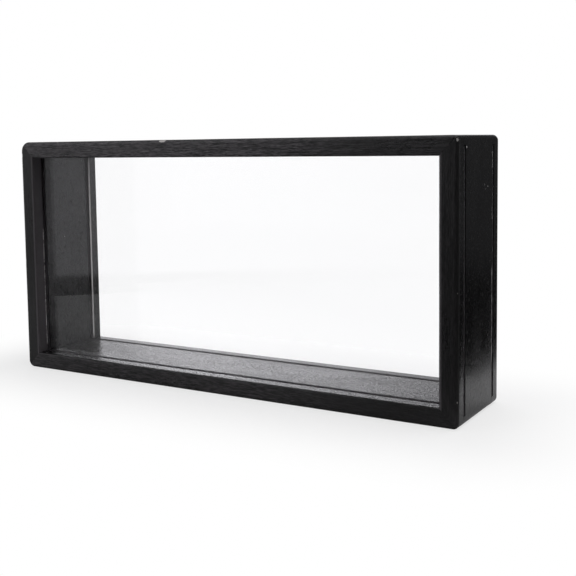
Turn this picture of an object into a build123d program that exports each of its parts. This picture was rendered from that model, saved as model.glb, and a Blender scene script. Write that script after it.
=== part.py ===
from build123d import *

import os

# Sizes in millimetres. X runs along the frame, Y from its front to its back, Z up.
# The origin is on the underside, in the middle of the frame.

# Wooden frame of four mitred boards
frame_length = 260.0
frame_height = 129.0
frame_depth = 54.0
board_thickness = 9.0
corner_radius = 4.0  # of the frame's four corners, seen from the front
outer_edge_radius = 1.6
inner_edge_radius = 0.6

# Two clear panes, each in a channel that runs round the inside of the frame
pane_thickness = 2.0
pane_edge_bevel = 0.2
pane_side_clearance = 0.2  # each side of a pane in its channel
pane_foot_clearance = 0.1
pane_top_clearance = 0.5
pane_end_clearance = 0.2
pane_setback = 0.5  # from a pane's end to the outer face of the slotted board
channel_depth = 4.5
channel_inset = 8.0  # from the front or back of the frame to the middle of a channel

# Brads that pin each mitre, driven through the rails into the ends of the stiles
brads_per_corner = 3
brad_spacing = 11.0
brad_length = 15.0
brad_width = 1.25
brad_gauge = 1.0
brad_head_width = 2.0
brad_head_height = 0.5
brad_point_length = 1.5
brad_head_sink = 0.3  # from the face of the rail down to the head
brad_clearance = 0.05

# Worked out from the sizes above
frame_right = frame_length / 2
frame_left = -frame_right
channel_width = pane_thickness + 2 * pane_side_clearance
channel_wall = board_thickness - channel_depth
channel_offset = frame_depth / 2 - channel_inset
channel_bottom = channel_wall
channel_top = frame_height - channel_wall
channel_left = frame_left + channel_wall
past_face = 1.0  # how far a cutting shape runs out past a face


def block(left, right, front, back, bottom, top):
    """A box between six planes."""
    box = Box(right - left, back - front, top - bottom, align=(Align.MIN, Align.MIN, Align.MIN))
    return Pos(left, front, bottom) * box


def in_both_channels(shape):
    """Copies of a shape that is made at Y 0, in the front and in the rear channel."""
    return [Pos(0, side * channel_offset, 0) * shape for side in (-1, 1)]


def frame_ring():
    """The four boards as one rounded ring, before its channels and brad holes are cut."""
    half_depth = frame_depth / 2
    outside = block(frame_left, frame_right, -half_depth, half_depth, 0, frame_height)
    outside = fillet(outside.edges().filter_by(Axis.Y), corner_radius)
    rims = outside.faces().filter_by(Axis.Y)
    outside = fillet(rims.edges(), outer_edge_radius)
    opening = block(
        frame_left + board_thickness,
        frame_right - board_thickness,
        -half_depth,
        half_depth,
        board_thickness,
        frame_height - board_thickness,
    )
    ring = outside - opening
    rims = ring.faces().filter_by(Axis.Y)
    inner_edges = [edge for rim in rims for wire in rim.inner_wires() for edge in wire.edges()]
    return fillet(inner_edges, inner_edge_radius)


def channel_cut():
    """A pane's channel at Y 0: a groove in three boards, and a slot out through the right one."""
    half_width = channel_width / 2
    right = frame_right + past_face
    return block(channel_left, right, -half_width, half_width, channel_bottom, channel_top)


def pane():
    """One clear pane at Y 0, standing in its channel."""
    half_thickness = pane_thickness / 2
    sheet = block(
        channel_left + pane_end_clearance,
        frame_right - pane_setback,
        -half_thickness,
        half_thickness,
        channel_bottom + pane_foot_clearance,
        channel_top - pane_top_clearance,
    )
    return chamfer(sheet.edges(), pane_edge_bevel)


def brad():
    """A brad with its head at the top, at Z 0, and its chisel point down."""
    half_width = brad_width / 2
    half_head = brad_head_width / 2
    half_gauge = brad_gauge / 2
    shoulder = brad_point_length - brad_length
    side = Polyline(
        (-half_head, 0),
        (half_head, 0),
        (half_head, -brad_head_height),
        (half_width, -brad_head_height),
        (half_width, shoulder),
        (0, -brad_length),
        (-half_width, shoulder),
        (-half_width, -brad_head_height),
        (-half_head, -brad_head_height),
        close=True,
    )
    return extrude(Plane.YZ * make_face(side), amount=half_gauge, both=True)


def brad_hole():
    """The hole that a brad and its sunk head leave in the wood, open above the head."""
    half_width = brad_width / 2 + brad_clearance
    half_head = brad_head_width / 2 + brad_clearance
    half_gauge = brad_gauge / 2 + brad_clearance
    head_seat = -brad_head_height - brad_clearance
    tip = -brad_length - brad_clearance
    head_way = brad_head_sink + past_face
    shank = block(-half_gauge, half_gauge, -half_width, half_width, tip, head_seat)
    head = block(-half_gauge, half_gauge, -half_head, half_head, head_seat, head_way)
    return shank + head


def at_corner(shape, left, low):
    """Copies of a brad's shape, side by side through the mitre at one corner of the frame."""
    across = frame_right - board_thickness / 2
    x = -across if left else across
    face = Location((x, 0, brad_head_sink), (180, 0, 0)) if low else Pos(x, 0, frame_height - brad_head_sink)
    first = -brad_spacing * (brads_per_corner - 1) / 2
    rows = [first + number * brad_spacing for number in range(brads_per_corner)]
    return [Pos(0, y, 0) * face * shape for y in rows]


def mitred_board(ring, across, towards):
    """The part of the ring between two mitres.

    across is True for a rail and False for a stile. towards is -1 for the board
    at the low end of its axis, and 1 for the one at the high end.
    """
    reach = board_thickness + past_face
    half_long = (frame_length if across else frame_height) / 2
    half_short = (frame_height if across else frame_length) / 2
    corners = [
        (-half_long - past_face, half_short + past_face),
        (half_long + past_face, half_short + past_face),
        (half_long - reach, half_short - reach),
        (-half_long + reach, half_short - reach),
    ]
    middle = frame_height / 2
    if across:
        outline = [(along, middle + towards * out) for along, out in corners]
    else:
        outline = [(towards * out, middle + along) for along, out in corners]
    wedge = make_face(Polyline(*outline, close=True))
    return ring & extrude(Plane.XZ * wedge, amount=frame_depth, both=True)


def build_nodes():
    """Every sub-part of the shadow box frame, under its own name."""
    corners = {
        "top_left": (True, False),
        "top_right": (False, False),
        "bottom_left": (True, True),
        "bottom_right": (False, True),
    }
    ring = frame_ring()
    for cut in in_both_channels(channel_cut()):
        ring = ring - cut
    for left, low in corners.values():
        for cut in at_corner(brad_hole(), left, low):
            ring = ring - cut
    front_pane, rear_pane = in_both_channels(pane())
    nodes = {
        "top_rail": mitred_board(ring, True, 1),
        "bottom_rail": mitred_board(ring, True, -1),
        "left_stile": mitred_board(ring, False, -1),
        "right_stile": mitred_board(ring, False, 1),
        "front_pane": front_pane,
        "rear_pane": rear_pane,
    }
    for name, (left, low) in corners.items():
        nodes["brads_" + name] = Compound(children=at_corner(brad(), left, low))
    return nodes


os.makedirs("parts", exist_ok=True)
for node, shape in build_nodes().items():
    export_step(shape, f"parts/{node}.step")
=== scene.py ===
import math
import random
from collections import namedtuple

import bmesh
import bpy
from mathutils import Matrix, Vector, noise


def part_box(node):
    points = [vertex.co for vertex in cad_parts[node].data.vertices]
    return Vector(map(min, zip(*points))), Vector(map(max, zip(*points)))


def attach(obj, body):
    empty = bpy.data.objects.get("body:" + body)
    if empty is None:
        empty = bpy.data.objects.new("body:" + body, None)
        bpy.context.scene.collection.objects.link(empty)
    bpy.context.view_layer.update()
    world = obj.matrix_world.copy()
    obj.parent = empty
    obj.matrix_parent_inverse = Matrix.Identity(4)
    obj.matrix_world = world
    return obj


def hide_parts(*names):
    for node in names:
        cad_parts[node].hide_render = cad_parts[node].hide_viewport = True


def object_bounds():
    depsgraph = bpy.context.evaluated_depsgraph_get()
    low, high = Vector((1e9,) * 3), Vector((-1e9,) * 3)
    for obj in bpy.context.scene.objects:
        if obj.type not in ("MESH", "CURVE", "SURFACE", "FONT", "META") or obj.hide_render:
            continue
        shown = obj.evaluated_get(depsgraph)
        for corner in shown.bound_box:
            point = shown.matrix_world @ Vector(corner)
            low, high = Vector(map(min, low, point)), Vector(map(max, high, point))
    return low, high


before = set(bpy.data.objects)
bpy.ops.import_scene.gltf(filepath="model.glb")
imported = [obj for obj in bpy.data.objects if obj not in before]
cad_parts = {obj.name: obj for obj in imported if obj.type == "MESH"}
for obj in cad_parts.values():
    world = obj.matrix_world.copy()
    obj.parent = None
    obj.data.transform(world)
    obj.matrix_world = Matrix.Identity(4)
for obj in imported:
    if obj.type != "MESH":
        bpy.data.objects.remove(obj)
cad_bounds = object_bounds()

bl_info = {
    "name": "Shadow Box Frame",
    "version": (1, 0, 0),
    "blender": (4, 5, 0),
    "location": "3D View > Sidebar > Shadow Box",
    "description": "A black wooden frame, open between two clear panes that slide out of one side",
    "category": "Add Mesh",
}

# The frame's own sizes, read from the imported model, in millimetres
MM = 0.001


def node_corners(node):
    """A node's lowest and highest corner in millimetres."""
    low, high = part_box(node)
    return low / MM, high / MM


frame_low, frame_high = (corner / MM for corner in cad_bounds)
frame_length = frame_high.x - frame_low.x
frame_depth = frame_high.y - frame_low.y
frame_height = frame_high.z - frame_low.z
half_length = frame_length / 2
half_height = frame_height / 2
half_depth = frame_depth / 2
stile_low, stile_high = node_corners("left_stile")
board_thickness = stile_high.x - stile_low.x
half_opening = half_length - board_thickness
pane_low, pane_high = node_corners("rear_pane")
pane_thickness = pane_high.y - pane_low.y
channel_offset = (pane_low.y + pane_high.y) / 2
brad_low, brad_high = node_corners("brads_top_right")
brad_across = (brad_low.x + brad_high.x) / 2
brad_gauge = brad_high.x - brad_low.x
brad_head_sink = frame_high.z - brad_high.z
brad_head_width = 2.0
brads_per_corner = 3
brad_spacing = (brad_high.y - brad_low.y - brad_head_width) / (brads_per_corner - 1)
brad_rows = [(row - (brads_per_corner - 1) / 2) * brad_spacing for row in range(brads_per_corner)]


# Settings that a user may change


class BoardSettings(bpy.types.PropertyGroup):
    corner_radius: bpy.props.FloatProperty(
        name="Corner Radius", description="Radius of the frame's four corners, seen from the front",
        default=0.004, min=0.0005, max=0.008, unit="LENGTH",
    )
    outer_edge_radius: bpy.props.FloatProperty(
        name="Outer Edge Radius", description="Rounding of the edges round the outside",
        default=0.0016, min=0.0002, max=0.003, unit="LENGTH",
    )
    inner_edge_radius: bpy.props.FloatProperty(
        name="Inner Edge Radius", description="Rounding of the edges round the opening",
        default=0.0006, min=0.0002, max=0.003, unit="LENGTH",
    )
    channel_depth: bpy.props.FloatProperty(
        name="Channel Depth", description="Depth of the channels that hold the panes",
        default=0.0045, min=0.001, max=0.008, unit="LENGTH",
    )
    channel_clearance: bpy.props.FloatProperty(
        name="Channel Clearance", description="Air on each side of a pane in its channel",
        default=0.0002, min=0.00005, max=0.001, unit="LENGTH",
    )
    arris: bpy.props.FloatProperty(
        name="Channel Arris", description="Width of the sanded edge along each channel",
        default=0.0001, min=0.00005, max=0.0004, unit="LENGTH",
    )
    waviness: bpy.props.FloatProperty(
        name="Waviness", description="How far hand sanding leaves the faces from flat",
        default=0.00007, min=0.0, max=0.0005, unit="LENGTH",
    )
    grain_relief: bpy.props.FloatProperty(
        name="Grain Relief", description="Height of the wood grain under the paint",
        default=0.00005, min=0.0, max=0.0003, unit="LENGTH",
    )
    paint_colour: bpy.props.FloatVectorProperty(
        name="Paint", description="Colour of the black paint",
        default=(0.0044, 0.0042, 0.0043), min=0.0, max=1.0, subtype="COLOR",
    )
    bare_colour: bpy.props.FloatVectorProperty(
        name="Bare Wood", description="Colour of the wood where the paint is chipped",
        default=(0.56, 0.54, 0.52), min=0.0, max=1.0, subtype="COLOR",
    )
    nicks_per_board: bpy.props.IntProperty(
        name="Nicks per Board", description="Small random nicks along the outer edges of each board",
        default=9, min=0, max=40,
    )


class PaneSettings(bpy.types.PropertyGroup):
    sheet_colour: bpy.props.FloatVectorProperty(
        name="Sheet", description="Tint of the clear acrylic sheet",
        default=(0.99, 0.99, 0.994), min=0.0, max=1.0, subtype="COLOR",
    )
    refraction: bpy.props.FloatProperty(
        name="Index of Refraction", description="1.49 is acrylic",
        default=1.49, min=1.0, max=2.0,
    )
    edge_rounding: bpy.props.FloatProperty(
        name="Edge Rounding", description="Rounding of the sheet's cut edges",
        default=0.0002, min=0.00005, max=0.0008, unit="LENGTH",
    )


class BradSettings(bpy.types.PropertyGroup):
    steel_colour: bpy.props.FloatVectorProperty(
        name="Steel", description="Colour of the plated steel",
        default=(0.55, 0.55, 0.56), min=0.0, max=1.0, subtype="COLOR",
    )


class StageSettings(bpy.types.PropertyGroup):
    floor_colour: bpy.props.FloatVectorProperty(
        name="Floor", description="Colour of the pale floor under the frame",
        default=(0.86, 0.86, 0.86), min=0.0, max=1.0, subtype="COLOR",
    )
    softbox_power: bpy.props.FloatProperty(
        name="Softbox Power", description="Power of the overhead softbox",
        default=3.2, min=0.0, max=100.0, unit="POWER",
    )
    surround_light: bpy.props.FloatProperty(
        name="Surround Light", description="Brightness of the pale studio walls",
        default=1.0, min=0.0, max=4.0,
    )


# Nodes


class NodeMaker:
    """Adds nodes to a material or a world and joins them."""

    def __init__(self, owner):
        owner.use_nodes = True
        self.owner = owner
        self.tree = owner.node_tree
        self.tree.nodes.clear()

    def add(self, kind, inputs=None, **settings):
        node = self.tree.nodes.new(kind)
        for name, value in settings.items():
            setattr(node, name, value)
        for name, value in (inputs or {}).items():
            self.feed(node.inputs[name], value)
        return node

    def feed(self, socket, value):
        """Joins another node's output to a socket, or sets a constant on it."""
        if isinstance(value, bpy.types.NodeSocket):
            self.tree.links.new(value, socket)
        else:
            socket.default_value = value

    def place(self):
        """The place on an object, in its own metres."""
        return self.add("ShaderNodeTexCoord").outputs["Object"]

    def split(self, vector):
        """The X, Y and Z of a vector."""
        return self.add("ShaderNodeSeparateXYZ", {"Vector": vector}).outputs

    def math(self, operation, first, second=0.0, third=0.0):
        node = self.add("ShaderNodeMath", operation=operation)
        for socket, value in zip(node.inputs, (first, second, third)):
            self.feed(socket, value)
        return node.outputs[0]

    def times(self, first, *others):
        """The product of some values."""
        for other in others:
            first = self.math("MULTIPLY", first, other)
        return first

    def distance(self, value, middle):
        """How far a value lies from a middle."""
        return self.math("ABSOLUTE", self.math("SUBTRACT", value, middle))

    def vector(self, operation, first, second):
        node = self.add("ShaderNodeVectorMath", operation=operation)
        self.feed(node.inputs[0], first)
        self.feed(node.inputs[1], second)
        return node.outputs["Value"] if operation in ("DISTANCE", "DOT_PRODUCT") else node.outputs[0]

    def linear(self, value, low, high, to_low, to_high, easing="LINEAR"):
        """A value carried over from to_low at low to to_high at high."""
        node = self.add("ShaderNodeMapRange", {
            "Value": value, "From Min": low, "From Max": high, "To Min": to_low, "To Max": to_high,
        }, interpolation_type=easing)
        return node.outputs["Result"]

    def smooth(self, value, low, high, to_low=0.0, to_high=1.0):
        """The same, eased at both ends."""
        return self.linear(value, low, high, to_low, to_high, "SMOOTHSTEP")

    def fade(self, value, low, high):
        """1 up to low, eased down to 0 at high."""
        return self.smooth(value, low, high, 1.0, 0.0)

    def noise(self, place, scale, detail=2.0, roughness=0.5, distortion=0.0):
        """Noise from 0 to 1. A scale of three numbers draws it out along the axes."""
        if isinstance(scale, tuple):
            place, scale = self.vector("MULTIPLY", place, scale), 1.0
        node = self.add("ShaderNodeTexNoise", {
            "Vector": place, "Scale": scale, "Detail": detail, "Roughness": roughness,
            "Distortion": distortion,
        })
        return node.outputs["Fac"]

    def mix(self, share, first, second):
        """A colour that goes from the first to the second as share goes from 0 to 1."""
        node = self.add("ShaderNodeMix", data_type="RGBA")
        self.feed(node.inputs["Factor"], share)
        self.feed(node.inputs["A"], first)
        self.feed(node.inputs["B"], second)
        return node.outputs["Result"]

    def blend(self, share, first, second):
        """A shader that goes from the first to the second as share goes from 0 to 1."""
        node = self.add("ShaderNodeMixShader", {"Fac": share})
        self.feed(node.inputs[1], first.outputs[0])
        self.feed(node.inputs[2], second.outputs[0])
        return node

    def surface(self, shader):
        """Gives the material a shader, and returns the material."""
        self.add("ShaderNodeOutputMaterial", {"Surface": shader.outputs[0]})
        return self.owner


def new_material(name):
    return NodeMaker(bpy.data.materials.new(name))


def colour(value):
    return (*value, 1.0)


black = (0.0, 0.0, 0.0, 1.0)
white = (1.0, 1.0, 1.0, 1.0)


def add_object(name, data):
    """Puts a mesh, a lamp or a camera into the scene."""
    thing = bpy.data.objects.new(name, data)
    bpy.context.scene.collection.objects.link(thing)
    return thing


# Painted wood

Coat = namedtuple("Coat", "relief dryness texture roughness blotches")
Strip = namedtuple("Strip", "x y low high half_width whole")

# How deep each board's grain is and how much paler paint its grain ridges get: partly dry paint, partly a
# painted sheen where the light catches the grain, strongest on the top rail. Then how bumpy and how rough
# its smooth faces are, and how much matt blotches show on them
coats = {
    "top_rail": Coat(relief=1.2, dryness=1.5, texture=0.4, roughness=0.25, blotches=0.1),
    "bottom_rail": Coat(relief=0.8, dryness=0.6, texture=2.0, roughness=0.25, blotches=0.2),
    "left_stile": Coat(relief=0.6, dryness=0.08, texture=0.08, roughness=0.2, blotches=0.0),
    "right_stile": Coat(relief=0.6, dryness=0.18, texture=0.02, roughness=0.2, blotches=0.04),
}

# Paler paint for the grain ridges, the lip and the channels. On the rails it is also a painted sheen of the
# light, and in the channels a painted lift of their shade
thin_paint_and_painted_light = (0.115, 0.105, 0.112, 1.0)
rubbed_paint = (0.03, 0.028, 0.027, 1.0)
# Pale wood for bare flecks and rubbed strips, and for one painted highlight
pale_wood_and_highlight = (0.9, 0.88, 0.86, 1.0)
paint_refraction = 1.5
front_face_roughness = 0.3

# Specks where the paint is missing, as centres and radii: on the right side face, then inside on the left
paint_flecks = [
    ((half_length, 6.9, 106.3), 0.4),
    ((half_length, 8.4, 104.1), 0.28),
    ((half_length, 11.3, 105.2), 0.45),
    ((half_length, -17.0, 123.6), 0.7),
    ((-half_opening, -2.5, 73.6), 0.3),
]

# Pale strips beside the channels, between their low and high ends. The dashed ones are where sliding panes
# have rubbed the paint; the whole one behind the rear channel on the left is a painted highlight along the
# rear pane's edge.
# A strip that is whole at 1 has no gaps.
beside_front_channel = -channel_offset - 1.55
behind_rear_channel = channel_offset + 1.85
beside_rear_slot = channel_offset - 1.5
rubbed_and_highlight_strips = [
    Strip(-half_opening, beside_front_channel, low=10.0, high=81.0, half_width=0.26, whole=0.1),
    # Painted highlight: this whole strip stands for light along the rear pane's edge, not for rubbed paint
    Strip(-half_opening, behind_rear_channel, low=7.0, high=122.0, half_width=0.62, whole=1.0),
    Strip(half_length, beside_rear_slot, low=20.0, high=68.0, half_width=0.26, whole=0.1),
    Strip(half_length, beside_rear_slot, low=89.0, high=96.5, half_width=0.24, whole=0.1),
    Strip(half_length, beside_rear_slot, low=113.5, high=121.5, half_width=0.24, whole=0.1),
]


class WoodPatterns:
    """Patterns that the colour, relief and roughness of one board's painted wood share."""

    def __init__(self, make, rail):
        self.make = make
        self.rail = rail
        self.place = make.place()
        self.spot = make.split(self.place)
        self.streaks = make.noise(self.along_grain(0.035), 0.62, roughness=0.55, distortion=0.3)
        self.fibre = make.noise(self.along_grain(0.09), 2.8, roughness=0.6)
        dots = make.noise(self.along_grain(0.2), 2.2, detail=1.0, roughness=0.4)
        self.pores = make.smooth(dots, 0.6, 0.68)
        self.patches = make.noise(self.along_grain(0.3), 0.09)
        self.speckle = make.noise(self.place, 2600.0, detail=1.0)
        # How squarely the wood faces the front or the back, and 1 on the front and back faces
        facing = make.split(make.add("ShaderNodeNewGeometry").outputs["Normal"])
        self.frontal = make.math("ABSOLUTE", facing["Y"])
        self.front_face = make.smooth(self.frontal, 0.5, 0.9)
        self.lip = 0.0 if rail else stile_lip(make, self.spot)
        self.edge = make.add("ShaderNodeAttribute", attribute_name="edge").outputs["Fac"]
        bare = make.add("ShaderNodeAttribute", attribute_name="bare").outputs["Fac"]
        ragged = make.math("MULTIPLY_ADD", make.math("SUBTRACT", self.speckle, 0.5), 0.9, bare)
        self.chipped = make.smooth(ragged, 0.42, 0.6)

    def along_grain(self, share):
        """The place in millimetres, drawn out along the grain."""
        scales = (share, 1.0, 1.0) if self.rail else (1.0, 1.0, share)
        return self.make.vector("MULTIPLY", self.place, [scale / MM for scale in scales])


def stile_lip(make, spot):
    """1 on the strip of a stile's inner face in front of the front channel, where the paint is thin."""
    span = make.math("ABSOLUTE", spot["X"])
    inside = make.fade(span, (half_opening + 1.0) * MM, (half_opening + 1.5) * MM)
    in_front = make.fade(spot["Y"], -(channel_offset + 1.5) * MM, -(channel_offset + 1.0) * MM)
    return make.times(inside, in_front)


def in_channels(make, wood):
    """1 inside the panes' channels and slots, where little paint reaches. The paler paint that this mask
    lays there also lifts their shade, as painted light.
    """
    from_channel = make.distance(make.math("ABSOLUTE", wood.spot["Y"]), channel_offset * MM)
    within = make.fade(from_channel, (pane_thickness / 2 + 0.25) * MM, (pane_thickness / 2 + 0.35) * MM)
    span = (make.math("ABSOLUTE", wood.spot["X"]), half_length)
    level = (make.distance(wood.spot["Z"], half_height * MM), half_height)
    (along, end), (outward, face) = (span, level) if wood.rail else (level, span)
    below_face = make.fade(outward, (face - 0.5) * MM, (face - 0.3) * MM)
    short_of_corner = make.fade(along, (end - 4.1) * MM, (end - 3.9) * MM)
    return make.times(within, below_face, short_of_corner)


def bare_flecks(make, wood):
    """1 on the small specks where the stiles' paint is missing."""
    spots = 0.0
    for centre, radius in paint_flecks:
        away = make.vector("DISTANCE", wood.place, [value * MM for value in centre])
        spots = make.math("MAXIMUM", spots, make.fade(away, radius * 0.5 * MM, radius * MM))
    return spots


def rubbed_bare_and_highlight(make, wood):
    """1 on the strips beside the stiles' channels where the panes have rubbed off the paint, and on the
    whole strip that is a painted highlight.
    """
    spots = 0.0
    across = make.vector("MULTIPLY", wood.place, (1.0, 1.0, 0.0))
    dash = make.noise(wood.place, (0.0, 0.0, 130.0))
    ragged = make.math("MULTIPLY_ADD", wood.speckle, 0.8, make.math("SUBTRACT", dash, 0.4))
    for strip in rubbed_and_highlight_strips:
        away = make.vector("DISTANCE", across, (strip.x * MM, strip.y * MM, 0.0))
        near = make.fade(away, strip.half_width * 0.6 * MM, strip.half_width * 1.2 * MM)
        from_middle = make.distance(wood.spot["Z"], (strip.low + strip.high) / 2 * MM)
        length = (strip.high - strip.low) * MM
        within = make.fade(from_middle, length * 0.44, length * 0.5)
        worn = make.smooth(ragged, 0.46 - 0.4 * strip.whole, 0.56 - 0.4 * strip.whole)
        spots = make.math("MAXIMUM", spots, make.times(worn, near, within))
    return spots


def wood_colour(make, wood, settings, dryness):
    """Black paint, paler on the ridges of the grain: dry paint, and on the rails also a painted sheen of
    the light on the grain. Missing where it's chipped or rubbed, and pale along one whole strip that is a
    painted highlight.
    """
    ridges = make.math("MULTIPLY_ADD", wood.streaks, 0.15, make.times(wood.fibre, 0.85))
    paler_paint_share = make.times(make.smooth(ridges, 0.38, 0.68), wood.front_face, dryness)
    if wood.rail:
        # Painted light: the rails' paler ridges fade towards the slotted end, as the light on the rails
        # falls off there
        paler_paint_share = make.times(paler_paint_share, make.smooth(wood.spot["X"], 0.02, 0.09, 1.0, 0.2))
    else:
        paler_paint_share = make.math("MAXIMUM", paler_paint_share, make.times(wood.lip, 0.85))
    # Painted light in part: paler paint in the channels, which also lifts the shade in them
    paler_paint_share = make.math("MAXIMUM", paler_paint_share, in_channels(make, wood))
    paint = make.mix(paler_paint_share, colour(settings.paint_colour), thin_paint_and_painted_light)
    rubbed = make.mix(make.times(wood.edge, 0.15), paint, rubbed_paint)
    surface = make.mix(wood.chipped, rubbed, colour(settings.bare_colour))
    if wood.rail:
        return surface
    # Pale wood on rubbed strips and bare flecks, and on the whole strip that is a painted highlight
    pale = make.math("MAXIMUM", rubbed_bare_and_highlight(make, wood), bare_flecks(make, wood))
    return make.mix(pale, surface, pale_wood_and_highlight)


def wood_relief(make, wood, settings, coat):
    """Grain on the front and back faces. The others were sanded and sprayed smoother."""
    grain = make.linear(wood.front_face, 0.0, 1.0, 0.05, coat.relief)
    grain = make.times(grain, make.linear(wood.patches, 0.35, 0.65, 0.6, 1.3))
    ribs = make.times(wood.fibre, make.linear(wood.front_face, 0.0, 1.0, 0.03, 2.4 * coat.relief))
    peel = make.noise(wood.place, 950.0, roughness=0.55)
    skin = make.math("MULTIPLY_ADD", peel, coat.texture, ribs)
    pitted = make.math("MULTIPLY_ADD", wood.streaks, 2.6, make.times(wood.pores, -0.5))
    height = make.math("ADD", make.times(pitted, grain), skin)
    bump = make.add("ShaderNodeBump", {
        "Strength": 1.0, "Distance": settings.grain_relief, "Height": height,
    })
    return bump.outputs["Normal"]


def wood_roughness(make, wood, coat):
    """Satin, and duller in blotches, on the roundings, in the pores and where the paint is worn."""
    # Handled and dusty blotches lie on the smooth faces, mostly towards the slotted end
    blotch = make.smooth(make.noise(wood.place, 800.0, detail=3.0, roughness=0.65), 0.46, 0.66)
    blotch = make.times(blotch, make.smooth(wood.spot["X"], -0.06, 0.09, 0.35, 1.0))
    smooth_face = make.math("MULTIPLY_ADD", blotch, coat.blotches, coat.roughness)
    rougher = make.math("SUBTRACT", front_face_roughness, smooth_face)
    rough = make.math("MULTIPLY_ADD", wood.front_face, rougher, smooth_face)
    rough = make.math("ADD", rough, make.linear(wood.patches, 0.3, 0.7, -0.03, 0.03))
    rounding = make.times(make.smooth(wood.frontal, 0.03, 0.15), make.fade(wood.frontal, 0.85, 0.97))
    fibres = make.math("SUBTRACT", wood.fibre, 0.5)
    wear = [(rounding, 0.35), (wood.lip, 0.3), (wood.pores, 0.12), (fibres, 0.12), (wood.chipped, 0.3)]
    for mark, extra in wear:
        rough = make.math("MULTIPLY_ADD", mark, extra, rough)
    return make.math("MINIMUM", rough, 1.0)


def painted_wood(board, settings):
    """Black satin paint over one board's open-grained wood."""
    coat = coats[board.node]
    make = new_material("black_" + board.node)
    wood = WoodPatterns(make, board.rail)
    return make.surface(make.add("ShaderNodeBsdfPrincipled", {
        "Base Color": wood_colour(make, wood, settings, coat.dryness),
        "Roughness": wood_roughness(make, wood, coat),
        "IOR": paint_refraction,
        "Normal": wood_relief(make, wood, settings, coat),
    }))


# The four mitred boards


class Board:
    """One mitred board. Its own directions are along its length, depth in from its outer face, and Y."""

    def __init__(self, node, rail, high, slotted=False):
        self.node = node
        self.rail = rail
        self.high = high
        self.slotted = slotted
        self.half = half_length if rail else half_height

    def place(self, along, depth, across):
        """A point of the board in the frame's millimetres."""
        if self.rail:
            return Vector((along, across, frame_height - depth if self.high else depth))
        side = half_length - depth if self.high else depth - half_length
        return Vector((side, across, half_height + along))


boards = [
    Board("top_rail", rail=True, high=True),
    Board("bottom_rail", rail=True, high=False),
    Board("left_stile", rail=False, high=False),
    Board("right_stile", rail=False, high=True, slotted=True),
]

# How round hand sanding left each corner, as a share of the radius in the settings: the photograph
# shows the left end's corners rounder than the slotted end's. Each key says whether the corner is at
# the right, and whether it is at the top.
corner_wear = {(False, True): 1.3, (False, False): 0.95, (True, True): 0.7, (True, False): 0.7}

# How far apart a board's points lie along it, and its lines round its section
end_zone = 12.0  # the last stretch of each board, where its lines close up to the mitre
end_step = 0.62
middle_step = 1.1
nick_step = 0.35
least_step = 0.12
broad_step = 2.0
groove_step = 1.2
front_step = 0.5
outer_edge_parts = 8
inner_edge_parts = 7

# Lengths that count as none: in a section, along an edge of a mesh, and between its points
no_length = 1e-6
no_slope = 1e-4
no_offset = 1e-3

# The sunk pockets over the brads' heads
pocket_clearance = 0.05
pocket_wall = 0.08
pocket_floor_drop = 0.05  # the floor of a brad's pocket lies this far under the top of its head
pocket_slack = 0.01

# The fine seam that each mitre shows
seam_half_width = 0.02
seam_depth = 0.04
seam_clearance = 0.01


def pocket_rim(width):
    """How far from its middle a brad's pocket has its floor's edge and its mouth's edge."""
    inside = width / 2 + pocket_clearance
    return inside, inside + pocket_wall


def quarter_turn(depth, across, radius, start, parts):
    """Points inside a quarter turn about a centre, as the angle falls from a start in degrees."""
    turns = [math.radians(start - 90 * part / parts) for part in range(1, parts)]
    return [(depth + radius * math.cos(turn), across + radius * math.sin(turn)) for turn in turns]


def spaced(start, stop, step, keep=()):
    """Numbers from start to stop about step apart, with every one of keep among them."""
    stops = sorted({start, stop, *[value for value in keep if min(start, stop) < value < max(start, stop)]})
    if start > stop:
        stops.reverse()
    numbers = [stops[0]]
    for low, high in zip(stops, stops[1:]):
        count = max(1, round(abs(high - low) / step))
        numbers += [low + (high - low) * number / count for number in range(1, count + 1)]
    return numbers


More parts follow.
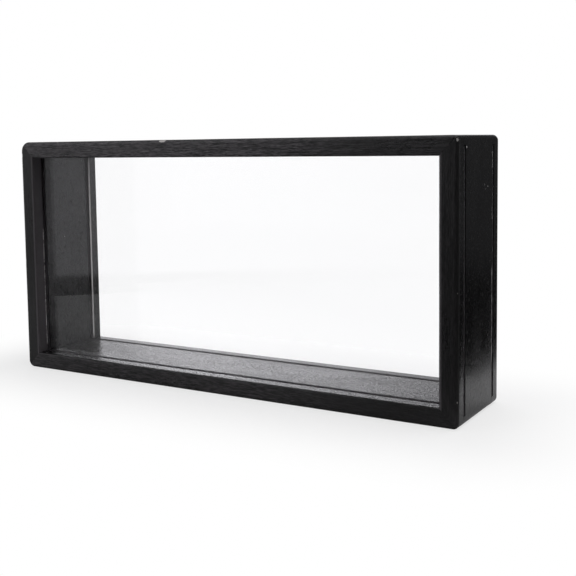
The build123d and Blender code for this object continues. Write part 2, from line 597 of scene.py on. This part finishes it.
class Section:
    """The section of a board, as a closed loop of lines that run its whole length."""

    def __init__(self, settings, board):
        ends = [(end, board.high) if board.rail else (board.high, end) for end in (False, True)]
        self.corners = [corner_wear[end] * settings.corner_radius / MM for end in ends]
        self.outer = settings.outer_edge_radius / MM
        self.inner = settings.inner_edge_radius / MM
        self.channel_floor = board_thickness - settings.channel_depth / MM
        half_width = pane_thickness / 2 + settings.channel_clearance / MM
        self.channel_sides = (channel_offset - half_width, channel_offset + half_width)
        self.board = board
        self.slot_end = board.half - self.channel_floor
        rear = self.rear_half()
        front = [(depth, -across) for depth, across in reversed(rear) if across > no_length]
        self.loop = rear + front

    def rear_half(self):
        """From the middle of the outer face, round the rear, to the middle of the inner face."""
        near, far = self.channel_sides
        keep = [near, far] if self.board.slotted else []
        if self.board.rail:
            for row in brad_rows:
                for rim in pocket_rim(brad_head_width):
                    keep += [abs(row - rim), abs(row + rim)]
        face, floor = board_thickness, self.channel_floor
        outer_turn = half_depth - self.outer
        inner_turn = half_depth - self.inner
        points = [(0.0, across) for across in spaced(0.0, outer_turn, broad_step, keep)]
        points += quarter_turn(self.outer, outer_turn, self.outer, 180, outer_edge_parts)
        points += [(depth, half_depth) for depth in spaced(self.outer, face - self.inner, front_step)]
        points += quarter_turn(face - self.inner, inner_turn, self.inner, 90, inner_edge_parts)
        points += [(face, across) for across in spaced(inner_turn, far, groove_step)]
        points += [(depth, far) for depth in spaced(face, floor, groove_step)[1:]]
        points += [(depth, near) for depth in spaced(floor, face, groove_step)]
        points += [(face, across) for across in spaced(near, 0.0, broad_step)[1:]]
        return points

    def wall_lines(self):
        """Lines of the slots' walls between the outer face and the depth of the other channels."""
        depths = spaced(0.0, self.channel_floor, groove_step)[1:-1]
        return [(depth, side * wall) for side in (-1, 1) for wall in self.channel_sides for depth in depths]

    def corner(self, run):
        """The radius of the corner at the end that a distance run lies towards."""
        return self.corners[run > 0]

    def outer_run(self, run):
        """The outer face's length from its middle to the mitre at one end, measured round the corner."""
        return self.board.half - self.corner(run) * (1 - math.pi / 4)

    def in_slot_wall(self, depth, across):
        """True for the lines on the slots' walls, between the outer and the inner face."""
        between = no_length < depth < board_thickness - no_length
        at_wall = any(abs(abs(across) - wall) < no_length for wall in self.channel_sides)
        return self.board.slotted and between and at_wall

    def point(self, run, depth, across):
        """The place of one line of the section, at a distance run along the outer face from its middle."""
        zone_start = self.board.half - end_zone
        reach = abs(run)
        if reach <= zone_start:
            return self.board.place(run, depth, across)
        corner = self.corner(run)
        full_run = self.outer_run(run) - zone_start
        share = (reach - zone_start) / full_run
        # A slot's walls keep their points in line with the slot's end
        if self.in_slot_wall(depth, across):
            full = (self.slot_end - zone_start) / full_run
            if depth > self.channel_floor:
                deeper = (depth - self.channel_floor) / (board_thickness - self.channel_floor)
                full += (1 - full) * deeper
            last = min(self.slot_end, self.board.half - depth)
            along = zone_start + (last - zone_start) * min(share / full, 1.0)
            return self.board.place(math.copysign(along, run), depth, across)
        # Lines deeper than the corner's radius run straight to the mitre, the others bend round the corner
        if depth >= corner:
            along = zone_start + (self.board.half - depth - zone_start) * share
            return self.board.place(math.copysign(along, run), depth, across)
        straight = self.board.half - corner - zone_start
        radius = corner - depth
        travelled = (straight + radius * math.pi / 4) * share
        if travelled <= straight:
            return self.board.place(math.copysign(zone_start + travelled, run), depth, across)
        turn = (travelled - straight) / radius
        along = self.board.half - corner + radius * math.sin(turn)
        return self.board.place(math.copysign(along, run), corner - radius * math.cos(turn), across)


nick_fullness = 0.8  # under 1, a nick is flatter in its middle and steeper at its rim

# How far inside the corner a rounded edge has its middle, as a share of its radius
edge_middle = 1 - math.sqrt(0.5)


class Nick:
    """A small bruise on a board's edge, at a point of the frame, long along the board."""

    def __init__(self, centre, length, width, depth, bare):
        self.centre = Vector(centre)
        self.length = length
        self.width = width
        self.depth = depth
        self.bare = bare

    def strength(self, point, rail):
        """0 outside the nick, rising to 1 in its middle."""
        offset = point - self.centre
        along = offset.x if rail else offset.z
        across = math.hypot(offset.y, offset.z if rail else offset.x)
        reach = (2 * along / self.length) ** 2 + (2 * across / self.width) ** 2
        return max(0.0, 1 - reach) ** nick_fullness


def photographed_nicks(board, outer):
    """The chips that the photograph shows, on the board that has them."""
    inset = outer * edge_middle
    left = inset - half_length
    right = half_length - inset
    front = inset - half_depth
    top = frame_height - inset
    open_mitre = (half_length - 0.5, 0.3 - half_depth, frame_height - 1.9)
    beside_mitre = (half_length - 1.0, 0.3 - half_depth, frame_height - 1.6)
    return {
        "top_rail": [
            Nick((-29.2, front, top), length=5.2, width=2.0, depth=0.5, bare=1.0),
            Nick((-24.0, front, top), length=3.0, width=0.8, depth=0.1, bare=0.0),
            Nick(beside_mitre, length=2.4, width=1.5, depth=0.42, bare=1.0),
        ],
        "bottom_rail": [],
        "left_stile": [
            Nick((left, front, frame_height - 7.5), length=2.6, width=1.2, depth=0.22, bare=0.0),
        ],
        "right_stile": [
            Nick(open_mitre, length=2.4, width=1.4, depth=0.42, bare=1.0),
            Nick((right, front, 12.4), length=1.5, width=1.2, depth=0.4, bare=0.5),
        ],
    }[board.node]


def random_nicks(board, settings, outer):
    """Small nicks where the outer edges have been knocked."""
    chance = random.Random(board.node)
    inset = outer * edge_middle
    nicks = []
    for _ in range(settings.nicks_per_board):
        along = chance.uniform(-1, 1) * (board.half - end_zone)
        side = chance.choice((-1, 1))
        length = chance.uniform(0.9, 2.6)
        width = chance.uniform(0.5, 1.0)
        depth = chance.uniform(0.05, 0.16)
        bare = chance.choice((0.0, 0.0, 0.55))
        centre = board.place(along, inset, side * (half_depth - inset))
        nicks.append(Nick(centre, length, width, depth, bare))
    return nicks


def board_stations(board, section, nicks):
    """Distances along the outer face at which the board's lines have their points."""
    low_end = -section.outer_run(-1)
    high_end = section.outer_run(1)
    zone_start = board.half - end_zone
    keep = [-zone_start, zone_start]
    if board.rail:
        for rim in pocket_rim(brad_gauge):
            keep += [side * (brad_across + shift) for side in (-1, 1) for shift in (-rim, rim)]
    if board.slotted:
        keep += [-section.slot_end, section.slot_end]
    close = []
    for nick in nicks:
        middle = nick.centre.x if board.rail else nick.centre.z - half_height
        count = max(2, round(nick.length / nick_step))
        close += [middle + nick.length * (step / count - 0.5) for step in range(count + 1)]
    plain = spaced(-zone_start, zone_start, middle_step)
    plain += spaced(low_end, -zone_start, end_step) + spaced(zone_start, high_end, end_step)
    kept = sorted(keep)
    for value in close + plain:
        if low_end < value < high_end and min(abs(value - other) for other in kept) > least_step:
            kept.append(value)
    return sorted([*kept, low_end, high_end])


def in_pocket(board, point):
    """True if a point of a rail's outer face is over a brad's head."""
    inside_x = pocket_rim(brad_gauge)[0] + pocket_slack
    inside_y = pocket_rim(brad_head_width)[0] + pocket_slack
    in_row = any(abs(point.y - row) < inside_y for row in brad_rows)
    return board.rail and in_row and abs(abs(point.x) - brad_across) < inside_x


def board_faces(section, stations):
    """Points and faces of a board's skin, with four-sided faces between its lines."""
    board = section.board
    lines = section.loop + (section.wall_lines() if board.slotted else [])
    number = {line: index for index, line in enumerate(lines)}
    points = [section.point(run, depth, across) for depth, across in lines for run in stations]
    count = len(stations)
    faces = []

    def strip(first, second, low=0, high=count - 1):
        start, other = number[first] * count, number[second] * count
        for step in range(low, high):
            faces.append((start + step, start + step + 1, other + step + 1, other + step))

    # The board's skin, without the floors and the mouths of its slots
    floor = section.channel_floor
    near, far = section.channel_sides
    slot_low = min(range(count), key=lambda index: abs(stations[index] + section.slot_end))
    slot_high = min(range(count), key=lambda index: abs(stations[index] - section.slot_end))
    for first, second in zip(section.loop, section.loop[1:] + section.loop[:1]):
        in_channel = {abs(first[1]), abs(second[1])} == {near, far}
        if board.slotted and in_channel and first[0] == second[0] == floor:
            continue
        if board.slotted and in_channel and first[0] == second[0] == 0.0:
            strip(first, second, 0, slot_low)
            strip(first, second, slot_high, count - 1)
            continue
        strip(first, second)
    # The walls and ends of its slots, out to the outer face
    if board.slotted:
        depths = spaced(0.0, floor, groove_step)
        for upper, lower in zip(depths, depths[1:]):
            for side in (-1, 1):
                for wall in (near, far):
                    strip((upper, side * wall), (lower, side * wall), slot_low, slot_high)
                ring = [(upper, near), (upper, far), (lower, far), (lower, near)]
                starts = [number[depth, side * wall] * count for depth, wall in ring]
                for station in (slot_low, slot_high):
                    faces.append(tuple(start + station for start in starts))
    # The mitres
    for station in (0, count - 1):
        faces.append(tuple(number[line] * count + station for line in section.loop))
    return points, faces


def board_depth(board, point):
    """How deep in from the outer face a point lies, leaving the round corners aside."""
    if board.rail:
        return frame_height - point.z if board.high else point.z
    return half_length - point.x if board.high else point.x + half_length


def board_along(board, point):
    return point.x if board.rail else point.z - half_height


def on_mitre(board, point):
    return board.half - abs(board_along(board, point)) - board_depth(board, point) < seam_half_width


def arris_edges(mesh, section):
    """The sharp edges along the mouths of a board's channels, on its inner face."""
    found = []
    for edge in mesh.edges:
        first, second = [vert.co / MM for vert in edge.verts]
        lengthwise = abs(abs(first.y) - abs(second.y)) < no_slope
        at_wall = any(abs(abs(first.y) - wall) < no_offset for wall in section.channel_sides)
        depth = board_depth(section.board, first)
        level = abs(depth - board_depth(section.board, second)) < no_slope
        if lengthwise and at_wall and level and abs(depth - board_thickness) < no_offset:
            found.append(edge)
    return found


def sanded_down(point):
    """How far hand sanding took a point down, as a share of the waviness."""
    broad = noise.noise(point * 0.045) * 0.5 + 0.5
    small = noise.noise(point * 0.21 + Vector((7.0, 3.0, 5.0))) * 0.5 + 0.5
    return 0.92 * broad + 0.08 * small


def bruised(board, nicks, point):
    """How deep the nicks press a point in, and how bare they leave it."""
    pressed = 0.0
    bare = 0.0
    for nick in nicks:
        strength = nick.strength(point, board.rail)
        if strength > 0:
            ragged = 0.75 + 0.5 * noise.noise(point * 2.3)
            pressed += nick.depth * strength * ragged
            bare = max(bare, nick.bare * strength * 1.4)
    return pressed, bare


def seam_move(board, point, normal, shift):
    """How a point on a mitre moves: in from its face, and back from the other board."""
    inward = -math.copysign(seam_half_width, board_along(board, point))
    move = Vector((inward, 0, 0)) if board.rail else Vector((0, 0, inward))
    on_side = abs(point.y) < half_depth - seam_clearance
    skin = Vector((normal.x, 0, normal.z)) if on_side else Vector((0, normal.y, 0))
    if skin.length > 0.01:
        move += skin.normalized() * (shift - seam_depth)
    return move


def finish_surface(mesh, section, settings, nicks):
    """Moves the skin in by the waviness, nicks and pockets, and marks edges and bare wood."""
    board = section.board
    edge_mark = mesh.verts.layers.float.new("edge")
    bare_mark = mesh.verts.layers.float.new("bare")
    mesh.normal_update()
    near, far = section.channel_sides
    margin = 0.2  # beside the roundings and the channels
    moves = []
    for vert in mesh.verts:
        point = vert.co / MM
        normal = vert.normal.copy()
        across = abs(point.y)
        depth = board_depth(board, point)
        rounded = 2 * abs(normal.y) * math.hypot(normal.x, normal.z)
        at_edge = across > half_depth - section.outer - margin
        vert[edge_mark] = min(1.0, rounded) if at_edge else 0.0
        in_channel = near - margin < across < far + margin
        if in_channel and min(depth, board_thickness - depth) < no_offset:
            outward = math.copysign(1.0, board_thickness / 2 - depth) * (1 if board.high else -1)
            normal = Vector((0, 0, outward)) if board.rail else Vector((outward, 0, 0))
        pressed, vert[bare_mark] = bruised(board, nicks, point)
        shift = -settings.waviness / MM * sanded_down(point) - pressed
        if depth < brad_head_sink and in_pocket(board, point):
            shift = depth - (brad_head_sink + pocket_floor_drop)
        if on_mitre(board, point) and not in_channel:
            moves.append((vert, seam_move(board, point, normal, shift)))
        else:
            moves.append((vert, normal * shift))
    for vert, move in moves:
        vert.co += move * MM


smooth_angle = 32  # degrees; edges that turn more stay sharp


def build_board(board, settings, material):
    """One board of the frame as a closed mesh that stands for its node."""
    section = Section(settings, board)
    nicks = photographed_nicks(board, section.outer) + random_nicks(board, settings, section.outer)
    points, faces = board_faces(section, board_stations(board, section, nicks))
    mesh = bmesh.new()
    verts = [mesh.verts.new(point * MM) for point in points]
    for face in faces:
        mesh.faces.new([verts[index] for index in face])
    bmesh.ops.remove_doubles(mesh, verts=mesh.verts, dist=no_offset * MM)
    bmesh.ops.dissolve_degenerate(mesh, edges=mesh.edges, dist=no_offset * MM)
    bmesh.ops.recalc_face_normals(mesh, faces=mesh.faces)
    bmesh.ops.bevel(
        mesh, geom=arris_edges(mesh, section), offset=settings.arris, offset_type="OFFSET",
        segments=2, profile=0.5, affect="EDGES", clamp_overlap=True,
    )
    finish_surface(mesh, section, settings, nicks)
    mesh.normal_update()
    for face in mesh.faces:
        face.smooth = True
    data = bpy.data.meshes.new(board.node + "_wood")
    mesh.to_mesh(data)
    mesh.free()
    data.set_sharp_from_angle(angle=math.radians(smooth_angle))
    data.materials.append(material)
    piece = add_object(board.node + "_wood", data)
    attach(piece, "frame")
    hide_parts(board.node)


class SHADOWBOX_OT_boards(bpy.types.Operator):
    """Builds the four painted boards with their rounded edges, channels, slots and nicks"""

    bl_idname = "shadow_box.boards"
    bl_label = "Boards"

    def execute(self, context):
        settings = context.scene.shadow_box_boards
        for board in boards:
            build_board(board, settings, painted_wood(board, settings))
        return {"FINISHED"}


# Clear panes

lamp_light_kept = 0.93  # share of the lamps' light that a pane lets through
# Painted shade: grey mixed into the cut edges so that they look as dark as the shade in the slots
slot_shade_grey = (0.3, 0.3, 0.31, 1.0)


def lets_lamps_through(make, shader, sheet_colour):
    """Gives a material a glass shader that casts only a faint shadow."""
    tint = colour([lamp_light_kept * value for value in sheet_colour])
    clear = make.add("ShaderNodeBsdfTransparent", {"Color": tint})
    shadow = make.add("ShaderNodeLightPath").outputs["Is Shadow Ray"]
    return make.surface(make.blend(shadow, shader, clear))


def clear_sheet(settings):
    """Polished acrylic, with a few faint smears where fingers have slid the sheet."""
    make = new_material("clear_sheet_face")
    smears = make.noise(make.place(), (18.0, 18.0, 30.0), detail=3.0, distortion=0.6)
    shader = make.add("ShaderNodeBsdfPrincipled", {
        "Base Color": colour(settings.sheet_colour),
        "Roughness": make.smooth(smears, 0.55, 0.75, 0.0, 0.008),
        "IOR": settings.refraction,
        "Transmission Weight": 1.0,
    })
    return lets_lamps_through(make, shader, settings.sheet_colour)


def cut_edge(settings):
    """The sawn edge of the sheet, darkened with painted shade as if it lay in the slots' shadow, and
    frosted by fine marks across its thickness.
    """
    make = new_material("clear_sheet_cut_edge")
    place = make.place()
    marks = make.noise(place, (2600.0, 120.0, 2600.0))
    frost = make.noise(place, (60.0, 60.0, 60.0))
    bump = make.add("ShaderNodeBump", {"Strength": 0.6, "Distance": 0.02 * MM, "Height": marks})
    # Painted shade on the cut edges, in patches
    slot_shade_share = make.smooth(frost, 0.35, 0.6, 0.5, 1.0)
    shader = make.add("ShaderNodeBsdfPrincipled", {
        "Base Color": make.mix(slot_shade_share, colour(settings.sheet_colour), slot_shade_grey),
        "Roughness": make.smooth(frost, 0.4, 0.62, 0.35, 0.6),
        "IOR": settings.refraction,
        "Transmission Weight": 0.85,
        "Normal": bump.outputs["Normal"],
    })
    return lets_lamps_through(make, shader, settings.sheet_colour)


def build_pane(node, settings, materials):
    """One clear sheet with softly rounded edges, the size of its node."""
    low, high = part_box(node)
    mesh = bmesh.new()
    bmesh.ops.create_cube(mesh, size=1.0, matrix=Matrix.LocRotScale((low + high) / 2, None, high - low))
    bmesh.ops.bevel(
        mesh, geom=list(mesh.edges), offset=settings.edge_rounding, offset_type="OFFSET",
        segments=3, profile=0.5, affect="EDGES",
    )
    mesh.normal_update()
    for face in mesh.faces:
        polished = abs(face.normal.y) > 0.999
        face.smooth = not polished
        face.material_index = 0 if polished else 1
    data = bpy.data.meshes.new(node + "_sheet")
    mesh.to_mesh(data)
    mesh.free()
    for material in materials:
        data.materials.append(material)
    piece = add_object(node + "_sheet", data)
    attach(piece, node)
    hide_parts(node)


class SHADOWBOX_OT_panes(bpy.types.Operator):
    """Builds the front and the rear clear pane"""

    bl_idname = "shadow_box.panes"
    bl_label = "Panes"

    def execute(self, context):
        settings = context.scene.shadow_box_panes
        materials = [clear_sheet(settings), cut_edge(settings)]
        for node in ("front_pane", "rear_pane"):
            build_pane(node, settings, materials)
        return {"FINISHED"}


# Brads

brad_edge_rounding = 0.08


def plated_steel(settings, paint):
    """Drawn steel with a zinc plate, and black paint on the heads at the faces of the rails."""
    make = new_material("brad_steel_plated")
    place = make.place()
    drawn = make.noise(place, (9000.0, 9000.0, 300.0))
    spangle = make.noise(place, (1600.0, 1600.0, 1600.0))
    from_middle = make.distance(make.split(place)["Z"], half_height * MM)
    painted = make.smooth(from_middle, (half_height - 0.75) * MM, (half_height - 0.6) * MM)
    dull_steel = colour([0.8 * value for value in settings.steel_colour])
    steel = make.mix(spangle, dull_steel, colour(settings.steel_colour))
    bump = make.add("ShaderNodeBump", {"Strength": 0.5, "Distance": 0.02 * MM, "Height": drawn})
    return make.surface(make.add("ShaderNodeBsdfPrincipled", {
        "Base Color": make.mix(painted, steel, colour(paint)),
        "Roughness": make.linear(drawn, 0.3, 0.7, 0.28, 0.42),
        "Metallic": make.math("SUBTRACT", 1.0, painted),
        "Normal": bump.outputs["Normal"],
    }))


class SHADOWBOX_OT_brads(bpy.types.Operator):
    """Finishes the steel brads that pin the mitres"""

    bl_idname = "shadow_box.brads"
    bl_label = "Brads"

    def execute(self, context):
        scene = context.scene
        steel = plated_steel(scene.shadow_box_brads, scene.shadow_box_boards.paint_colour)
        for node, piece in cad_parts.items():
            if node.startswith("brads_"):
                piece.data.materials.clear()
                piece.data.materials.append(steel)
                softened = piece.modifiers.new("hammered_edges", "BEVEL")
                softened.width = brad_edge_rounding * MM
                softened.segments = 2
        return {"FINISHED"}


# Stage


behind_panes = 1.13  # how bright white is through the panes, which keep back about a tenth of it


def camera_rays(make):
    """1 for the camera's own rays, straight or through a pane, and how bright white has to be for them."""
    path = make.add("ShaderNodeLightPath").outputs
    bounces = make.math("ADD", path["Glossy Depth"], path["Diffuse Depth"])
    unbounced = make.math("LESS_THAN", bounces, 0.5)
    through_pane = make.times(path["Is Transmission Ray"], unbounced)
    direct = make.math("MAXIMUM", path["Is Camera Ray"], through_pane)
    white_level = make.math("MULTIPLY_ADD", through_pane, behind_panes - 1.0, 1.0)
    return direct, white_level


def shown_to(make, share, shader):
    """Gives a material a shader that is there for a share of the rays, and clear for the others."""
    clear = make.add("ShaderNodeBsdfTransparent")
    return make.surface(make.blend(share, clear, shader))


def floor_material(settings):
    """Pale floor that only the camera sees: white, with a soft shadow near the frame."""
    make = new_material("pale_floor")
    direct, white_level = camera_rays(make)
    spot = make.split(make.add("ShaderNodeNewGeometry").outputs["Position"])
    past_end = make.math("SUBTRACT", make.math("ABSOLUTE", spot["X"]), half_length * MM)
    past_front = make.math("SUBTRACT", make.math("ABSOLUTE", spot["Y"]), half_depth * MM)
    away = make.add("ShaderNodeCombineXYZ", {
        "X": make.math("MAXIMUM", past_end, 0.0), "Y": make.math("MAXIMUM", past_front, 0.0),
    })
    from_frame = make.vector("DISTANCE", away.outputs[0], (0.0, 0.0, 0.0))
    lit = make.add("ShaderNodeBsdfDiffuse", {"Color": colour(settings.floor_colour)})
    plain = make.add("ShaderNodeEmission", {"Color": white, "Strength": white_level})
    return shown_to(make, direct, make.blend(make.smooth(from_frame, 0.0, 0.08, 0.7, 1.0), lit, plain))


def table_material():
    """A pale table top that only reflections and matt surfaces see, with painted shade towards the front
    right and a little painted light beside the slotted end.
    """
    make = new_material("pale_table")
    direct, _ = camera_rays(make)
    place = make.add("ShaderNodeNewGeometry").outputs["Position"]
    spot = make.split(place)
    to_front_right = make.vector("DOT_PRODUCT", place, (0.5, -0.87, 0.0))
    # Painted shade: the table darkens towards the front right
    tone = make.smooth(to_front_right, 0.06, 0.15, 0.5, 0.12)
    # Painted light: a little brighter beside the slotted end, behind the front
    lit_beside_frame = make.smooth(spot["X"], 0.1, 0.13, 0.0, 0.2)
    behind_front = make.smooth(spot["Y"], -0.05, -0.02)
    tone = make.math("MULTIPLY_ADD", lit_beside_frame, behind_front, tone)
    table = make.add("ShaderNodeBsdfDiffuse", {"Color": make.mix(tone, black, white)})
    return shown_to(make, make.math("SUBTRACT", 1.0, direct), table)


# Corners of the table top and of the floor, in metres from the frame's middle
table_corners = [(-0.578, 0.054), (0.04, -0.529), (0.24, -0.6), (0.157, 0.08), (0.16, 0.6), (-0.6, 0.8)]
floor_corners = [(-1.5, -1.5), (1.5, -1.5), (1.5, 1.5), (-1.5, 1.5)]
floor_drop = 0.00003  # keeps the floor just clear of the frame's underside


def build_plane(name, corners, drop, material):
    """A flat sheet of the stage, a little under the frame."""
    data = bpy.data.meshes.new(name)
    data.from_pydata([(x, y, -drop) for x, y in corners], [], [tuple(range(len(corners)))])
    data.materials.append(material)
    add_object(name, data)


# How bright the studio is round the frame, by bearing in degrees: 0 is behind it, 90 is its slotted end
bearings = [
    (-180, 0.08), (-160, 0.1), (-136, 0.33), (-110, 0.7), (-80, 1.0), (-50, 1.4), (-42, 1.35),
    (-35, 1.75), (-28, 1.65), (-20, 0.9), (-10, 0.2), (0, 0.06), (28, 0.05), (41, 0.85), (50, 0.9),
    (66, 0.15), (180, 0.08),
]
brightest = 1.8
ceiling_light = 0.3
studio_tint = (0.99, 0.985, 1.02, 1.0)

# A pale panel in front on the left, which picks out the grain of the rails
key_bearing = math.radians(-141)
key_half_width = math.radians(5)
key_fade = math.radians(6)
key_light = 3.0


def light_around(make, bearing):
    """The studio's brightness at a bearing."""
    share = make.math("MULTIPLY_ADD", bearing, 1 / (2 * math.pi), 0.5)
    ramp = make.add("ShaderNodeValToRGB", {"Fac": share})
    ramp.color_ramp.interpolation = "EASE"
    stops = ramp.color_ramp.elements
    while len(stops) < len(bearings):
        stops.new(0.5)
    for stop, (degrees, light) in zip(stops, bearings):
        stop.position = degrees / 360 + 0.5
        stop.color = colour([light / brightest] * 3)
    return make.times(ramp.outputs["Color"], brightest)


def studio_surround(settings):
    """White to the camera. To all else, pale walls, a ceiling, and a panel in front on the left."""
    world = bpy.data.worlds.new("studio")
    bpy.context.scene.world = world
    make = NodeMaker(world)
    direct, white_level = camera_rays(make)
    way = make.split(make.add("ShaderNodeTexCoord").outputs["Generated"])
    bearing = make.math("ARCTAN2", way["X"], way["Y"])
    above = make.smooth(way["Z"], -0.137, -0.13, 0.04, 1.0)
    overhead = make.smooth(way["Z"], 0.45, 0.95)
    walls = make.times(light_around(make, bearing), above, make.math("SUBTRACT", 1.0, overhead))
    ceiling = make.times(overhead, ceiling_light)
    from_key = make.distance(bearing, key_bearing)
    key = make.smooth(from_key, key_half_width, key_half_width + key_fade, key_light, 0.0)
    key = make.times(key, make.smooth(way["Z"], 0.05, 0.2), make.fade(way["Z"], 0.35, 0.6))
    studio = make.math("ADD", key, make.math("ADD", walls, ceiling))
    studio = make.times(studio, settings.surround_light, make.math("SUBTRACT", 1.0, direct))
    background = make.add("ShaderNodeBackground", {
        "Color": make.mix(direct, studio_tint, white),
        "Strength": make.math("MULTIPLY_ADD", white_level, direct, studio),
    })
    make.add("ShaderNodeOutputWorld", {"Surface": background.outputs[0]})


# The lamp over the frame, in metres
softbox_place = (0.2, 0.1, 0.75)
softbox_target = (0.0, 0.0, 0.06)
softbox_size = 0.6


def overhead_softbox(settings):
    """A square lamp that faces the frame."""
    lamp = bpy.data.lights.new("overhead_softbox", "AREA")
    lamp.shape = "SQUARE"
    lamp.size = softbox_size
    lamp.energy = settings.softbox_power
    holder = add_object("overhead_softbox", lamp)
    holder.location = softbox_place
    way = Vector(softbox_target) - Vector(softbox_place)
    holder.rotation_euler = way.to_track_quat("-Z", "Y").to_euler()


# The camera, fitted to the photograph's edges
camera_place = (0.27390, -0.41550, 0.12691)
camera_yaw = 31.414  # degrees to the left of straight back
camera_pitch = -4.992
camera_roll = -0.853
camera_focal_pixels = 952.63
picture_width = 576
optical_centre = (272.5, 225.5)  # in pixels from the top left of the photograph
sensor_width = 36.0


def build_camera():
    """The camera in the photograph's place, with the photograph's crop as a lens shift."""
    lens = bpy.data.cameras.new("camera")
    lens.sensor_width = sensor_width
    lens.lens = camera_focal_pixels / picture_width * sensor_width
    lens.shift_x = (picture_width / 2 - optical_centre[0]) / picture_width
    lens.shift_y = (optical_centre[1] - picture_width / 2) / picture_width
    lens.clip_start = 0.01
    lens.clip_end = 50.0
    camera = add_object("camera", lens)
    turn = Matrix.Rotation(math.radians(camera_yaw), 4, "Z")
    tilt = Matrix.Rotation(math.radians(90 + camera_pitch), 4, "X")
    roll = Matrix.Rotation(math.radians(camera_roll), 4, "Z")
    camera.matrix_world = Matrix.Translation(camera_place) @ turn @ tilt @ roll
    bpy.context.scene.camera = camera


class SHADOWBOX_OT_stage(bpy.types.Operator):
    """Sets the pale floor, the soft studio light and the camera"""

    bl_idname = "shadow_box.stage"
    bl_label = "Stage"

    def execute(self, context):
        settings = context.scene.shadow_box_stage
        build_plane("floor", floor_corners, floor_drop, floor_material(settings))
        build_plane("table", table_corners, 2 * floor_drop, table_material())
        studio_surround(settings)
        overhead_softbox(settings)
        build_camera()
        context.scene.view_settings.view_transform = "Standard"
        return {"FINISHED"}


class SHADOWBOX_PT_panel(bpy.types.Panel):
    """Lists the builders and their settings"""

    bl_idname = "SHADOWBOX_PT_panel"
    bl_label = "Shadow Box Frame"
    bl_space_type = "VIEW_3D"
    bl_region_type = "UI"
    bl_category = "Shadow Box"

    def draw(self, context):
        scene = context.scene
        groups = [
            (SHADOWBOX_OT_boards, scene.shadow_box_boards),
            (SHADOWBOX_OT_panes, scene.shadow_box_panes),
            (SHADOWBOX_OT_brads, scene.shadow_box_brads),
            (SHADOWBOX_OT_stage, scene.shadow_box_stage),
        ]
        for operator, settings in groups:
            box = self.layout.box()
            box.operator(operator.bl_idname)
            for name in settings.__annotations__:
                box.prop(settings, name)


setting_groups = {
    "shadow_box_boards": BoardSettings,
    "shadow_box_panes": PaneSettings,
    "shadow_box_brads": BradSettings,
    "shadow_box_stage": StageSettings,
}
operators = (SHADOWBOX_OT_boards, SHADOWBOX_OT_panes, SHADOWBOX_OT_brads, SHADOWBOX_OT_stage)


def register():
    for group in (*setting_groups.values(), *operators, SHADOWBOX_PT_panel):
        bpy.utils.register_class(group)
    for name, group in setting_groups.items():
        setattr(bpy.types.Scene, name, bpy.props.PointerProperty(type=group))


def unregister():
    for name in setting_groups:
        delattr(bpy.types.Scene, name)
    for group in (*setting_groups.values(), *operators, SHADOWBOX_PT_panel):
        bpy.utils.unregister_class(group)


def main():
    register()
    bpy.ops.shadow_box.stage()
    bpy.ops.shadow_box.boards()
    bpy.ops.shadow_box.panes()
    bpy.ops.shadow_box.brads()


if __name__ == "__main__":
    main()
